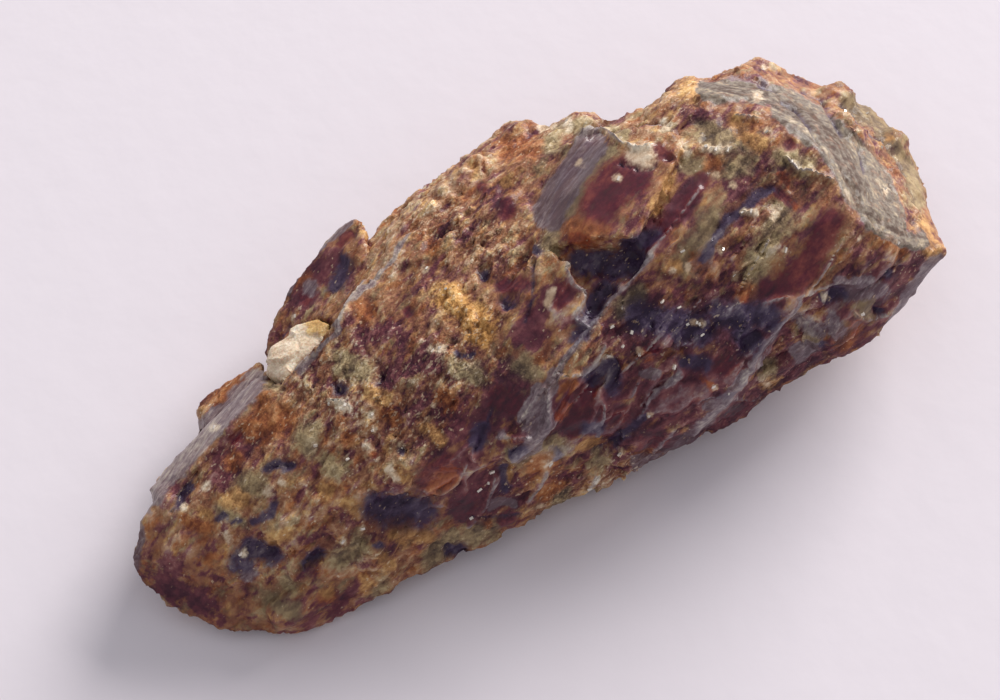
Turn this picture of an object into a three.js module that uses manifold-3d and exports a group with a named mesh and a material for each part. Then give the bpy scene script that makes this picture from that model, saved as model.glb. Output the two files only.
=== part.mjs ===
// Painite crystal: one composite crystal of painite, made of bladed individuals in
// near-parallel growth, with a pale calcite grain lodged in a cleft of its back edge.
// Millimetres, +Z up, lying on its flat underside.
// Corners are [s, t, z]: s along the common growth axis, t across it, z above the underside.
import * as THREE from "three";
import { ConvexGeometry } from "three/addons/geometries/ConvexGeometry.js";
import { mergeVertices } from "three/addons/utils/BufferGeometryUtils.js";
import Module from "manifold-3d";

const wasm = await Module();
wasm.setup();

// Driving dimensions.
const GROWTH_ANGLE = THREE.MathUtils.degToRad(16); // growth axis from the long axis, in plan
const FLOOR_BLOCK = 40; // a cutting block that reaches past the whole crystal
const PLATE_TAPER = 0.88; // size of a plate's foot against its top
const BLADE_BEVEL = 0.45; // length of a blade's bevelled end
const BLADE_TIP = 0.6; // size of a blade's end face against its middle
const GRAIN_DROP = 0.9; // thickness of the calcite grain
const GRAIN_GAP = 0.1; // clearance between the grain and its cleft
const CLEFT_MITRE = 1.5; // a corner moves out this much further than the sides beside it

// The slender crystal that forms the tapering half: underside, flanks, then its rough top.
const SLENDER = [
  [-7.8, 2.8, 0], [-6.8, 1.6, 0], [-4.8, 0.6, 0], [-2.4, -0.3, 0], [3, -0.6, 0], [4, 2, 0],
  [-1, 3.4, 0], [-6, 3.6, 0], [-7.4, 3.4, 0],
  [-9.5, 3.9, 0.9], [-9.35, 2.95, 0.5], [-9.05, 1.75, 0.3], [-8.05, 0.55, 0.2], [-6.3, -0.3, 0.4],
  [-4.9, -0.9, 0.4], [-3.7, -1.7, 0.6], [-9.3, 4.3, 1.5], [-8.9, 4.5, 1.7], [-5.4, 4.8, 1],
  [-1.6, 4.9, 1.4], [1.4, 4.9, 1.6], [4.4, 3.8, 1.8], [1.5, 4.8, 2.8], [3.4, 4.1, 2.9],
  [4.4, 3.7, 2.9], [5.5, 3, 3], [5.8, 2.3, 3.1],
  [-8.6, 3.2, 1.9], [-6.5, 0.8, 2.1], [-4.8, -0.6, 1.3], [-6.5, 3, 2.8], [-4.4, 3.4, 3.2],
  [-2.6, 3.5, 3.6], [-0.2, 3.7, 3.7], [0.9, 3.2, 3.9], [3, 2.7, 4], [4.4, 1.8, 4.1],
  [-2.1, 0.8, 4.3], [0.2, 0.6, 4.5], [-4.7, 0.3, 3.2], [-3.5, -0.7, 3],
];

// The stout crystal with the big end face: underside, flanks and rim, then its top.
const STOUT = [
  [-2.4, -0.3, 0], [0.4, -1.9, 0], [3.2, -3, 0], [6, -3.2, 0], [7.6, -2.2, 0], [7.6, -0.8, 0],
  [5.6, 0.6, 0], [3, 1, 0],
  [-3.5, -1.6, 0.6], [-0.9, -2.5, 0.6], [0.3, -3.3, 0.6], [1.3, -3.8, 0.7], [2.4, -4.2, 0.9],
  [3.8, -4.6, 1.2], [5.2, -5.8, 1.6], [6.2, -6, 1.9], [7.4, -6.2, 3], [8.6, -5.4, 2],
  [9.4, -4.3, 1.6], [10.6, -3.4, 1.6], [10.7, -2.3, 1.8], [10.6, -1.4, 1.9], [10, -0.6, 2.3],
  [9.5, 0.4, 2.9], [9.6, 0.3, 1.4], [7.6, 1.4, 1.6], [5.8, 2.1, 2.4], [5.8, 1.1, 4.4],
  [6.5, 0.2, 5], [6.9, -1.2, 5.1], [6.9, -2.3, 5.2], [6.7, -3, 5.2], [5.8, -4.4, 4.9],
  [6.3, -5.4, 4.1], [5, -5, 4.1], [3.9, -4.4, 4.1], [2.9, -3.6, 4.1], [2.2, -1.4, 5],
  [4.9, -0.6, 5.3], [0.3, -1.5, 4.2], [-1, -1.4, 3.6], [-2.6, -1.4, 2.8], [0.2, -2.6, 2.9],
];

// Plates grown over the two crystals: corners of the top, and how far the sides go down.
const PLATES = [
  { // high knobbed plate, with a bevelled left side
    top: [
      [1.2, 0.7, 4.6], [2.4, 1.3, 4.6], [4, 1.6, 4.5], [4.4, 1.5, 4.5], [1.5, 0.3, 5], [2.7, 0.8, 5.1],
      [4.1, 1, 5.1], [5.1, 0.6, 5.1], [5.3, 0, 5.2], [4.7, -0.5, 5.4], [3.2, -0.9, 5.5],
      [2.2, -1.1, 5.4], [1.6, -0.2, 5.3],
    ],
    drop: 1.2,
  },
  { // shoulder between the knobbed plate and the rough face
    top: [
      [0.6, 0.9, 4.35], [1.3, 1.05, 4.35], [2.4, 1.75, 4.25], [4, 2.1, 4.3], [4.5, 1.8, 4.5],
      [2.4, 1.2, 4.7], [1.3, 0.5, 4.85], [0.5, 0.5, 4.75],
    ],
    drop: 0.9,
  },
  { // plate with the round window, below the knobbed one
    top: [
      [-0.1, 0.4, 4.7], [1.1, 0.4, 4.9], [0.6, -1, 4.7], [0.3, -1.6, 4.6], [-1.2, -1.5, 4.2],
      [-2, -1.8, 3.8], [-3, -1.5, 3.4], [-2.7, -0.4, 3.8], [-2, -0.1, 4.2],
    ],
    drop: 1.6,
  },
  { // web that joins the window plate to the rough face
    top: [
      [0.3, 0.7, 4.5], [1, 0.5, 4.7], [-0.1, 0.3, 4.65], [-2, -0.1, 4.15], [-2.7, -0.4, 3.75],
      [-3, -1.4, 3.3], [-2.1, 0.9, 4.25], [-3.4, 0.6, 3.75], [-4.6, 0.2, 3.2], [-3.8, -0.6, 3],
    ],
    drop: 0.8,
  },
  { // floor of the recess between the knobbed plate and the window plate
    top: [
      [0.7, 0.5, 4.5], [0.3, -1.6, 4.3], [1.2, -2, 4.35], [2.6, -1.6, 4.7], [2.6, -0.4, 4.8],
      [1.6, 0.4, 4.7],
    ],
    drop: 1.2,
  },
  { // long ridge along the front flank
    top: [
      [0.1, -3.5, 2.1], [0.8, -3.9, 2.4], [1.7, -4.3, 2.9], [3, -4.4, 3.5], [3.7, -4.4, 4.1],
      [3, -3.8, 4.1], [1.6, -3.3, 3.8], [0.2, -3.1, 3.1], [-0.3, -3.1, 2.4],
    ],
    drop: 1.3,
  },
  { // ledge under the window plate
    top: [
      [-4, -1.1, 1.5], [-3.7, -0.8, 2.4], [-2.9, -1, 3], [-1.5, -1.7, 3.2], [-0.5, -2.1, 3.1],
      [-1.1, -2.4, 2.3], [-1.9, -2.1, 1.7], [-2.9, -1.7, 1.4],
    ],
    drop: 1.2,
  },
  { // second ledge, beside the long ridge
    top: [
      [-0.9, -2.4, 2.1], [0, -2.8, 3], [1.1, -3.4, 3.4], [-0.1, -3.2, 2.7], [-0.4, -3.2, 1.4],
      [-1.3, -2.5, 0.9],
    ],
    drop: 0.8,
  },
  { // low skirt below the long ridge
    top: [
      [2.6, -4.4, 1.2], [2.1, -4.3, 0.8], [1.3, -3.8, 0.7], [1.3, -3.7, 1.2], [2, -4.1, 1.8],
      [3.5, -4.6, 1.5], [4.4, -5.1, 1.8], [3.9, -4.7, 2],
    ],
    drop: 0.3,
  },
  { // smooth blade along the back edge of the tapering end
    top: [
      [-7.8, 5, 1.7], [-6.8, 5, 1.9], [-5.9, 4.9, 2.1], [-4.4, 4.6, 2.5], [-8.1, 4.2, 2.1],
      [-6.8, 4.3, 2.5], [-5.4, 4.1, 2.9], [-4.7, 4, 3],
    ],
    drop: 1.2,
  },
  { // outer blade behind it
    top: [
      [-5.9, 5.3, 1.2], [-5.3, 5.8, 1.3], [-4.3, 5.4, 1.6], [-3.8, 5.1, 1.8], [-4.1, 4.7, 2],
      [-5.8, 5, 1.7],
    ],
    drop: 0.9,
  },
  { // dark blade beyond the cleft
    top: [
      [-3.7, 5.1, 2], [-2.4, 5.6, 2.3], [-1.7, 5.6, 2.5], [-0.2, 5.6, 2.7], [0.1, 5.4, 2.8],
      [0, 5, 2.9], [-0.6, 4.5, 3.1], [-1.8, 4.1, 2.9], [-2.5, 4.2, 2.6], [-3.7, 4.7, 2.2],
    ],
    drop: 1.4,
  },
  { // rough rim behind the knobbed plate
    top: [
      [4.3, 2.3, 3.8], [5, 2.2, 3.85], [5.4, 1.8, 4], [6.1, 1.1, 4.2], [5.2, 1, 4.5], [4.3, 1.6, 4.4],
    ],
    drop: 1,
  },
  { // knob beside the top of the end face
    top: [[7.2, 1.5, 3.4], [7.6, 1.3, 3.5], [7.8, 0.9, 3.6], [6.6, 0.5, 4.4], [6.1, 1, 4.3]],
    drop: 1.2,
  },
  { // crest of the end face
    top: [[8.6, 0.7, 3.2], [9.5, 0.4, 3], [9.6, -0.4, 2.8], [8.3, -0.4, 3.8], [7.5, 0.1, 4.3]],
    drop: 1.1,
  },
];

// Blades that stand out of the two crystals: the axis from end to end, the width and depth
// across it, and the roll about it in degrees.
const BLADES = [
  { from: [-8.3, 2.4, 1.3], to: [-4.2, 2.7, 2.9], width: 1.3, depth: 0.9, roll: 10 },
  { from: [-7.4, 1.2, 1.2], to: [-3.4, 1.6, 3.3], width: 1.4, depth: 1, roll: -12 },
  { from: [-6.2, 0.2, 1.2], to: [-2.9, 0.4, 3], width: 1.2, depth: 1, roll: -25 },
  { from: [-4.6, 2.6, 2.7], to: [0.2, 3.1, 3.5], width: 1.3, depth: 0.9, roll: 14 },
  { from: [-2.9, 1.6, 3.5], to: [2.3, 2.1, 3.9], width: 1.5, depth: 0.8, roll: 4 },
  { from: [-0.8, 3.6, 3.1], to: [3.2, 3.6, 3.1], width: 1.2, depth: 1, roll: 30 },
  { from: [0.8, 4.3, 2.2], to: [4.9, 3.6, 2.4], width: 1.3, depth: 1.2, roll: 12 },
  { from: [2.6, 2.7, 3.3], to: [5.6, 2.3, 3], width: 1.3, depth: 1.1, roll: 20 },
  { from: [0.7, -2.1, 3.75], to: [5.7, -2.3, 4.7], width: 1.4, depth: 0.8, roll: -8 },
  { from: [2.6, -3.2, 3.7], to: [6.1, -3.7, 4.65], width: 1.2, depth: 0.7, roll: -16 },
  { from: [3.8, -4.9, 2.6], to: [7.1, -5.3, 3.3], width: 1.2, depth: 1.1, roll: -35 },
  { from: [2.6, -4.1, 2], to: [8.9, -4.6, 2.2], width: 1.3, depth: 1.1, roll: -20 },
  { from: [3, 0.1, 4.6], to: [6.5, -0.4, 4.7], width: 1.4, depth: 0.9, roll: 10 },
  { from: [5, -0.6, 3.8], to: [8.1, -0.9, 3.9], width: 1.4, depth: 1, roll: 8 },
  { from: [5, -2.6, 3.4], to: [9, -2.6, 3.3], width: 1.6, depth: 1, roll: -10 },
  { from: [6, -1.4, 2.3], to: [10.5, -1.6, 2.2], width: 1.3, depth: 1, roll: 0 },
  { from: [6, -3.4, 2], to: [10.3, -3.3, 1.9], width: 1.3, depth: 1.1, roll: -15 },
  { from: [-6.6, 4.3, 0.9], to: [-1.4, 4.7, 1], width: 1.2, depth: 1.1, roll: 18 },
  { from: [-1.8, 4.5, 1.4], to: [2.8, 4.6, 1.4], width: 1.2, depth: 1.3, roll: 35 },
  { from: [1.6, 3.8, 0.9], to: [5.6, 2.6, 1.2], width: 1.3, depth: 1.2, roll: 10 },
  { from: [4.2, 2.2, 1.4], to: [8.9, 1, 1.8], width: 1.4, depth: 1.3, roll: 28 },
  { from: [5.6, 0.5, 2.7], to: [9.1, 0.2, 2.6], width: 1.4, depth: 1.1, roll: 20 },
  { from: [-3.6, -1.2, 1], to: [0.6, -2.8, 1.2], width: 1.1, depth: 1, roll: -30 },
  { from: [-8.3, 1.2, 0.7], to: [-4.2, -0.5, 0.9], width: 1, depth: 1, roll: -30 },
];

// Hollows: centre and half-sizes along and across the growth axis, and up.
const HOLLOWS = [
  { at: [-5.35, -0.1, 2.75], reach: [0.75, 0.5, 0.4] }, // black pit low on the rough face
  { at: [-7.7, 1.8, 2.15], reach: [0.5, 0.4, 0.35] },
  { at: [-7, 0.7, 1.75], reach: [0.4, 0.3, 0.3] },
  { at: [-0.35, -2, 3.75], reach: [0.5, 0.35, 0.5] }, // dark recess beside the window plate
];

// The calcite grain's top.
const GRAIN_TOP = [
  [-4.2, 4.4, 2.6], [-3.7, 4.7, 2.6], [-2.9, 4.6, 2.7], [-2.6, 4.3, 2.8], [-2.7, 3.8, 3],
  [-3.7, 3.9, 3], [-4.3, 3.9, 2.9],
];

// A closed solid from a closed geometry.
function solidOf(geometry) {
  geometry.deleteAttribute("normal");
  geometry.deleteAttribute("uv");
  const merged = mergeVertices(geometry, 1e-4);
  return new wasm.Manifold(
    new wasm.Mesh({
      numProp: 3,
      vertProperties: new Float32Array(merged.attributes.position.array),
      triVerts: new Uint32Array(merged.index.array),
    }),
  );
}

// The solid's triangles as a geometry.
function geometryOf(solid) {
  const mesh = solid.getMesh();
  const geometry = new THREE.BufferGeometry();
  geometry.setAttribute("position", new THREE.BufferAttribute(mesh.vertProperties, 3));
  geometry.setIndex(new THREE.BufferAttribute(mesh.triVerts, 1));
  return geometry;
}

// The convex solid around a set of corners.
function hullOf(corners) {
  return solidOf(new ConvexGeometry(corners.map((corner) => new THREE.Vector3(...corner))));
}

// The mean of one coordinate of a set of corners.
function mean(corners, axis) {
  return corners.reduce((sum, corner) => sum + corner[axis], 0) / corners.length;
}

// A plate: the hull of its top corners and of a smaller foot lowered by `drop`.
function plateOf({ top, drop }) {
  const centre = [mean(top, 0), mean(top, 1)];
  const foot = top.map(([s, t, z]) => [
    centre[0] + (s - centre[0]) * PLATE_TAPER,
    centre[1] + (t - centre[1]) * PLATE_TAPER,
    z - drop,
  ]);
  return hullOf([...top, ...foot]);
}

// A six-sided blade with bevelled ends.
function bladeOf({ from, to, width, depth, roll }) {
  const start = new THREE.Vector3(...from);
  const axis = new THREE.Vector3(...to).sub(start);
  const length = axis.length();
  const along = axis.divideScalar(length);
  const across = new THREE.Vector3(0, 0, 1).cross(along).normalize();
  across.applyAxisAngle(along, THREE.MathUtils.degToRad(roll));
  const upward = along.clone().cross(across);
  const rings = [[0, BLADE_TIP], [BLADE_BEVEL, 1], [length - BLADE_BEVEL, 1], [length, BLADE_TIP]];
  const corners = [];
  for (const [distance, size] of rings) {
    for (let side = 0; side < 6; side += 1) {
      const angle = (side * Math.PI) / 3;
      const corner = start.clone().addScaledVector(along, distance);
      corner.addScaledVector(across, (Math.cos(angle) * size * width) / 2);
      corner.addScaledVector(upward, (Math.sin(angle) * size * depth) / Math.sqrt(3));
      corners.push(corner.toArray());
    }
  }
  return hullOf(corners);
}

// A rounded hollow.
function hollowOf({ at, reach }) {
  const ball = new THREE.IcosahedronGeometry(1, 1);
  ball.scale(...reach);
  ball.translate(...at);
  return solidOf(ball);
}

// The room around the calcite grain, open at the top.
function cleftSolid() {
  const centre = [mean(GRAIN_TOP, 0), mean(GRAIN_TOP, 1)];
  const rim = GRAIN_TOP.map(([s, t, z]) => {
    const reach = Math.hypot(s - centre[0], t - centre[1]);
    const grow = 1 + (CLEFT_MITRE * GRAIN_GAP) / reach;
    return [centre[0] + (s - centre[0]) * grow, centre[1] + (t - centre[1]) * grow, z];
  });
  const mouth = rim.map(([s, t, z]) => [s, t, z + GRAIN_DROP]);
  const foot = rim.map(([s, t, z]) => [s, t, z - GRAIN_DROP - GRAIN_GAP]);
  return hullOf([...mouth, ...foot]);
}

// Everything above the resting plane.
function aboveFloor() {
  const block = new THREE.BoxGeometry(FLOOR_BLOCK, FLOOR_BLOCK, FLOOR_BLOCK);
  block.translate(0, 0, FLOOR_BLOCK / 2);
  return solidOf(block);
}

function painiteSolid() {
  let crystal = hullOf(SLENDER).add(hullOf(STOUT));
  for (const plate of PLATES) {
    crystal = crystal.add(plateOf(plate));
  }
  for (const blade of BLADES) {
    crystal = crystal.add(bladeOf(blade));
  }
  for (const hollow of HOLLOWS) {
    crystal = crystal.subtract(hollowOf(hollow));
  }
  return crystal.subtract(cleftSolid()).intersect(aboveFloor());
}

// A named mesh, turned so that the specimen's long axis is X.
function pieceOf(name, solid, material) {
  const mesh = new THREE.Mesh(geometryOf(solid), new THREE.MeshStandardMaterial(material));
  mesh.name = name;
  mesh.rotation.z = GROWTH_ANGLE;
  return mesh;
}

const crystal = pieceOf("painite_crystal", painiteSolid(), {
  color: 0x5f3a22,
  roughness: 0.5,
  metalness: 0,
});
const grain = pieceOf("calcite_grain", plateOf({ top: GRAIN_TOP, drop: GRAIN_DROP }), {
  color: 0xe9dcc2,
  roughness: 0.35,
  metalness: 0,
});

// The origin is under the middle of the specimen.
const specimen = new THREE.Group();
specimen.add(crystal, grain);
const middle = new THREE.Box3().setFromObject(specimen, true).getCenter(new THREE.Vector3());
for (const piece of specimen.children) {
  piece.position.set(-middle.x, -middle.y, 0);
}

export default specimen;
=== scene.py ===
import itertools
import math

import bpy
import numpy as np
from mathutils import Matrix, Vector
from mathutils.bvhtree import BVHTree


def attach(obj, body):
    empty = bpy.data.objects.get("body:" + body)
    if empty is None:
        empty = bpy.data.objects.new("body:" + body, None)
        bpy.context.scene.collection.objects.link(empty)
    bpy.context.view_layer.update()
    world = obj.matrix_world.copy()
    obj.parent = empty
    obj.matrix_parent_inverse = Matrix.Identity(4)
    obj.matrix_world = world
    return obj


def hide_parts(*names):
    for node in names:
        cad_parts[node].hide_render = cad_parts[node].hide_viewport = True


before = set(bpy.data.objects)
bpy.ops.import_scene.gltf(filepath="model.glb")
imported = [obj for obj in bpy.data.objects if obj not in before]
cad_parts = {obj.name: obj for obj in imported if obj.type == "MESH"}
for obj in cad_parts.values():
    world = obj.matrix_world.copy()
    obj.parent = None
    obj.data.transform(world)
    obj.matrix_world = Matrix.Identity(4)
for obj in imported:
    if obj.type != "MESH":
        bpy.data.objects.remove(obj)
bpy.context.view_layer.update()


# ---- Table, light and camera ----
# The crystal lies on a sheet of pale, slightly lilac paper. A wide low window behind and
# to the right lights it, with daylight all round. The camera looks down from the front left.
# The lens, the sensor and the aim are in millimetres, and the other lengths in metres.
MM = 0.001
PICTURE = (1000, 700)
LENS = 85.0
SENSOR = 36.0
CAMERA_AZIMUTH = math.radians(-37)
CAMERA_HEIGHT = math.radians(60)
PIXELS_PER_MM = 43.8
AIM = Vector((-0.46, -0.754, 2.5))
AIM_PIXEL = (537, 347)
NEAR_CLIP = 0.001

WINDOW_AZIMUTH = math.radians(108)
WINDOW_HEIGHT = math.radians(23)
WINDOW_REACH = 0.40
WINDOW_WIDTH = 0.24
WINDOW_POWER = 2.5
WINDOW_TINT = (1.0, 0.985, 0.97)
DAYLIGHT_TINT = (0.93, 0.95, 1.0)
DAYLIGHT_STRENGTH = 0.52

PAPER_WIDTH = 0.7
PAPER_TINT = (0.80, 0.730, 0.775)
FIBRE_SIZE = 1 / 900
FIBRE_HEIGHT = 0.0001


def way_out(azimuth, height):
    """The direction out from the crystal at an azimuth from the front and a height above the table."""
    return Vector((
        math.sin(azimuth) * math.cos(height),
        -math.cos(azimuth) * math.cos(height),
        math.sin(height),
    ))


distance = LENS / SENSOR * PICTURE[0] / PIXELS_PER_MM
backward = way_out(CAMERA_AZIMUTH, CAMERA_HEIGHT)
rightward = Vector((math.cos(CAMERA_AZIMUTH), math.sin(CAMERA_AZIMUTH), 0))
upward = backward.cross(rightward)
eye = (
    AIM + backward * distance
    - rightward * ((AIM_PIXEL[0] - PICTURE[0] / 2) / PIXELS_PER_MM)
    + upward * ((AIM_PIXEL[1] - PICTURE[1] / 2) / PIXELS_PER_MM)
)

bpy.ops.object.select_all(action="DESELECT")
bpy.ops.object.camera_add(
    location=eye * MM,
    rotation=(math.pi / 2 - CAMERA_HEIGHT, 0, CAMERA_AZIMUTH),
)
camera = bpy.context.object
camera.data.lens = LENS
camera.data.sensor_width = SENSOR
camera.data.clip_start = NEAR_CLIP
bpy.context.scene.camera = camera

to_window = way_out(WINDOW_AZIMUTH, WINDOW_HEIGHT)
bpy.ops.object.light_add(type="AREA", location=to_window * WINDOW_REACH)
window = bpy.context.object
window.name = "window"
window.rotation_euler = to_window.to_track_quat("Z", "Y").to_euler()
window.data.shape = "SQUARE"
window.data.size = WINDOW_WIDTH
window.data.energy = WINDOW_POWER
window.data.color = WINDOW_TINT

daylight = bpy.data.worlds.new("daylight")
daylight.use_nodes = True
sky = daylight.node_tree.nodes["Background"]
sky.inputs["Color"].default_value = (*DAYLIGHT_TINT, 1)
sky.inputs["Strength"].default_value = DAYLIGHT_STRENGTH
bpy.context.scene.world = daylight
bpy.context.scene.view_settings.view_transform = "Standard"


class Wire:
    """A value in a material, with arithmetic that adds Math nodes."""

    def __init__(self, pot, socket):
        self.pot = pot
        self.socket = socket

    def worked(self, operation, first, second):
        return self.pot.node("ShaderNodeMath", {"operation": operation}, {0: first, 1: second})

    def __add__(self, other):
        return self.worked("ADD", self, other)

    def __radd__(self, other):
        return self.worked("ADD", other, self)

    def __sub__(self, other):
        return self.worked("SUBTRACT", self, other)

    def __rsub__(self, other):
        return self.worked("SUBTRACT", other, self)

    def __mul__(self, other):
        return self.worked("MULTIPLY", self, other)

    def __rmul__(self, other):
        return self.worked("MULTIPLY", other, self)


class PaintPot:
    """A material's node tree, filled by one call a node."""

    def __init__(self, name):
        self.material = bpy.data.materials.new(name)
        self.material.use_nodes = True
        self.tree = self.material.node_tree
        self.shader = self.tree.nodes["Principled BSDF"]

    def node(self, kind, settings=None, sockets=None, out=0):
        made = self.tree.nodes.new(kind)
        for key, value in (settings or {}).items():
            if key == "stops":
                while len(made.color_ramp.elements) < len(value):
                    made.color_ramp.elements.new(0.5)
                for element, (place, colour) in zip(made.color_ramp.elements, value):
                    element.position = place
                    element.color = (*colour, 1)
            else:
                setattr(made, key, value)
        self.feed(made, sockets or {})
        return Wire(self, made.outputs[out])

    def feed(self, made, sockets):
        for key, value in sockets.items():
            if isinstance(value, Wire):
                self.tree.links.new(value.socket, made.inputs[key])
            elif isinstance(value, tuple) and made.inputs[key].type == "RGBA":
                made.inputs[key].default_value = (*value, 1)
            else:
                made.inputs[key].default_value = value

    def amount(self, name):
        """A finish's amount, as kept on the piece."""
        return self.node("ShaderNodeAttribute", {"attribute_name": name}, out=2)

    def blended(self, share, first, second):
        """One colour turning into another."""
        return self.node("ShaderNodeMix", {"data_type": "RGBA"}, {0: share, 6: first, 7: second}, out=2)

    def between(self, value, low, high):
        """0 below low, 1 above high and smooth between."""
        return self.node(
            "ShaderNodeMapRange", {"interpolation_type": "SMOOTHSTEP"},
            {"Value": value, "From Min": low, "From Max": high},
        )

    def shade(self, steps, place):
        """The colour at a place along some steps of colour."""
        return self.node("ShaderNodeValToRGB", {"stops": steps}, {"Fac": place})

    def cloud(self, seat, size, detail, rough=0.6):
        """Fractal noise with features of a size, in the units of its seat."""
        return self.node(
            "ShaderNodeTexNoise", {},
            {"Vector": seat, "Scale": 1 / size, "Detail": detail, "Roughness": rough},
        )


bpy.ops.mesh.primitive_plane_add(size=PAPER_WIDTH)
paper = bpy.context.object
paper.name = "paper"
paper_pot = PaintPot("pale paper")
fibres = paper_pot.cloud(paper_pot.node("ShaderNodeTexCoord", out=3), FIBRE_SIZE, 3.0, 0.5)
paper_pot.feed(paper_pot.shader, {
    "Base Color": PAPER_TINT,
    "Roughness": 0.9,
    "Specular IOR Level": 0.2,
    "Normal": paper_pot.node("ShaderNodeBump", {}, {
        "Strength": 0.15, "Distance": FIBRE_HEIGHT, "Height": fibres,
    }),
})
paper.data.materials.append(paper_pot.material)


# ---- Painite crystal ----
# One natural crystal: blades of dark red-brown painite grown together side by side,
# all along one growth axis, with a skin of ochre and tan weathering crust.
# Its lengths are in millimetres, and its marks are placed by pixels of the camera's view.
GROWTH_ANGLE = math.radians(16)
SKIN_GRAIN = 0.079
SKIN_ROUNDS = 3
SKIN_SOFTNESS = 0.5
MERGE_REACH = 0.0005
CRISP_ANGLE = math.radians(50)
SHAKE_SIZE = 0.36
SHAKE_REACH = 0.09


def only(piece):
    """Makes a piece the single selected and active object."""
    bpy.ops.object.select_all(action="DESELECT")
    piece.select_set(True)
    bpy.context.view_layer.objects.active = piece


def finish_modifier(piece, name, kind, **settings):
    """Adds a modifier, sets it and applies it."""
    only(piece)
    modifier = piece.modifiers.new(name, kind)
    for key, value in settings.items():
        setattr(modifier, key, value)
    bpy.ops.object.modifier_apply(modifier=name)


def fine_copy(node, name, grain):
    """A copy of a CAD node in millimetres, closed up, cut fine and slightly rounded."""
    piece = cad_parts[node].copy()
    piece.data = piece.data.copy()
    piece.name = name
    piece.data.name = name
    piece.parent = None
    for key in list(piece.keys()):
        del piece[key]
    bpy.context.scene.collection.objects.link(piece)
    only(piece)
    piece.scale = (1 / MM, 1 / MM, 1 / MM)
    bpy.ops.object.transform_apply(location=False, rotation=False, scale=True)
    bpy.ops.object.mode_set(mode="EDIT")
    bpy.ops.mesh.select_all(action="SELECT")
    bpy.ops.mesh.remove_doubles(threshold=MERGE_REACH)
    bpy.ops.object.mode_set(mode="OBJECT")
    finish_modifier(piece, "skin", "REMESH", mode="VOXEL", voxel_size=grain)
    finish_modifier(piece, "soften", "SMOOTH", factor=SKIN_SOFTNESS, iterations=SKIN_ROUNDS)
    return piece


def points_of(piece):
    """The places of a piece's points."""
    places = np.empty(len(piece.data.vertices) * 3)
    piece.data.vertices.foreach_get("co", places)
    return places.reshape(-1, 3)


def normals_of(piece):
    """The outward directions at a piece's points."""
    normals = np.empty(len(piece.data.vertices) * 3, np.float32)
    piece.data.vertex_normals.foreach_get("vector", normals)
    return normals.reshape(-1, 3).astype(float)


def raised(piece, heights):
    """Raises a piece's points by heights, keeps them above the table and turns them to metres."""
    places = points_of(piece) + normals_of(piece) * heights[:, None]
    places[:, 2] = np.maximum(places[:, 2], 0)
    piece.data.vertices.foreach_set("co", (places * MM).astype(np.float32).ravel())
    piece.data.update()
    return places


def chance(cell, seed):
    """A repeatable random number from 0 to 1 for each whole-numbered cell."""
    mixed = (
        cell[..., 0] * 374761393 + cell[..., 1] * 668265263
        + cell[..., 2] * 1103515245 + seed * 974634777
    )
    mixed = (mixed ^ (mixed >> 13)) & 0x7FFFFFFF
    mixed = (mixed * 1274126177) & 0x7FFFFFFFFFFF
    mixed = mixed ^ (mixed >> 16)
    return (mixed & 0xFFFFFF) / 0xFFFFFF


def drift(places, size, seed, layers=1):
    """A smooth random swell between about -1 and 1, with finer layers added."""
    total, weight = 0.0, 0.0
    for layer in range(layers):
        scaled = places / (size * 0.5 ** layer)
        cell = np.floor(scaled).astype(np.int64)
        part = scaled - cell
        part = part * part * (3 - 2 * part)
        value = 0.0
        for corner in itertools.product((0, 1), repeat=3):
            share = np.prod(np.where(corner, part, 1 - part), axis=1)
            value = value + share * chance(cell + np.array(corner), seed + layer * 17)
        total = total + (value * 2 - 1) * 0.6 ** layer
        weight += 0.6 ** layer
    return total / weight * 1.6


def ramp(value, low, high):
    """0 below low, 1 above high and smooth between."""
    share = np.clip((value - low) / (high - low), 0, 1)
    return share * share * (3 - 2 * share)


def crumbs(places, size, seed):
    """Where places fall among scattered grains of a size: the gap to the nearest grain's middle
    and to the next one's, the nearest grain's chance, and the lean of its flat top."""
    scaled = places / size
    cell = np.floor(scaled).astype(np.int64)
    first = np.full(len(places), 9.0)
    second = np.full(len(places), 9.0)
    owner = np.zeros(len(places))
    lean = np.zeros(len(places))
    for step in itertools.product((-1, 0, 1), repeat=3):
        near = cell + np.array(step)
        away = scaled - near - np.stack([chance(near, seed + k) for k in range(3)], axis=1)
        tilt = np.stack([chance(near, seed + k) - 0.5 for k in (6, 7, 8)], axis=1)
        gap = np.linalg.norm(away, axis=1)
        closer = gap < first
        second = np.where(closer, first, np.minimum(second, gap))
        owner = np.where(closer, chance(near, seed + 5), owner)
        lean = np.where(closer, (away * tilt).sum(axis=1), lean)
        first = np.minimum(first, gap)
    return first, second, owner, lean


def flat_tops(grains, step, tilt, seam):
    """The height of grains with flat leaning tops, and seams of a width between them."""
    first, second, owner, lean = grains
    return ((owner - 0.5) * step + lean * tilt) * ramp(second - first, 0, seam)


def round_tops(grains, middle, dome, step, tilt):
    """The height of grains with rounded tops."""
    first, second, owner, lean = grains
    return (middle - first) * dome + (owner - 0.5) * step + lean * tilt


def grain_tint_and_painted_shade(grains, step, tilt, painted_seam_shade=0.35, seam_width=0.14):
    """How light each grain is: its own tint by chance, painted light on its high side and painted shade
    in the seams.
    """
    first, second, owner, lean = grains
    in_seam = 1 - ramp(second - first, 0, seam_width)
    return (owner - 0.5) * step + lean * tilt - painted_seam_shade * in_seam


def growth_places(places):
    """Places as distance along the growth axis, across it, and up."""
    cos, sin = math.cos(GROWTH_ANGLE), math.sin(GROWTH_ANGLE)
    return np.stack([
        places[:, 0] * cos + places[:, 1] * sin,
        -places[:, 0] * sin + places[:, 1] * cos,
        places[:, 2],
    ], axis=1)


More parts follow.
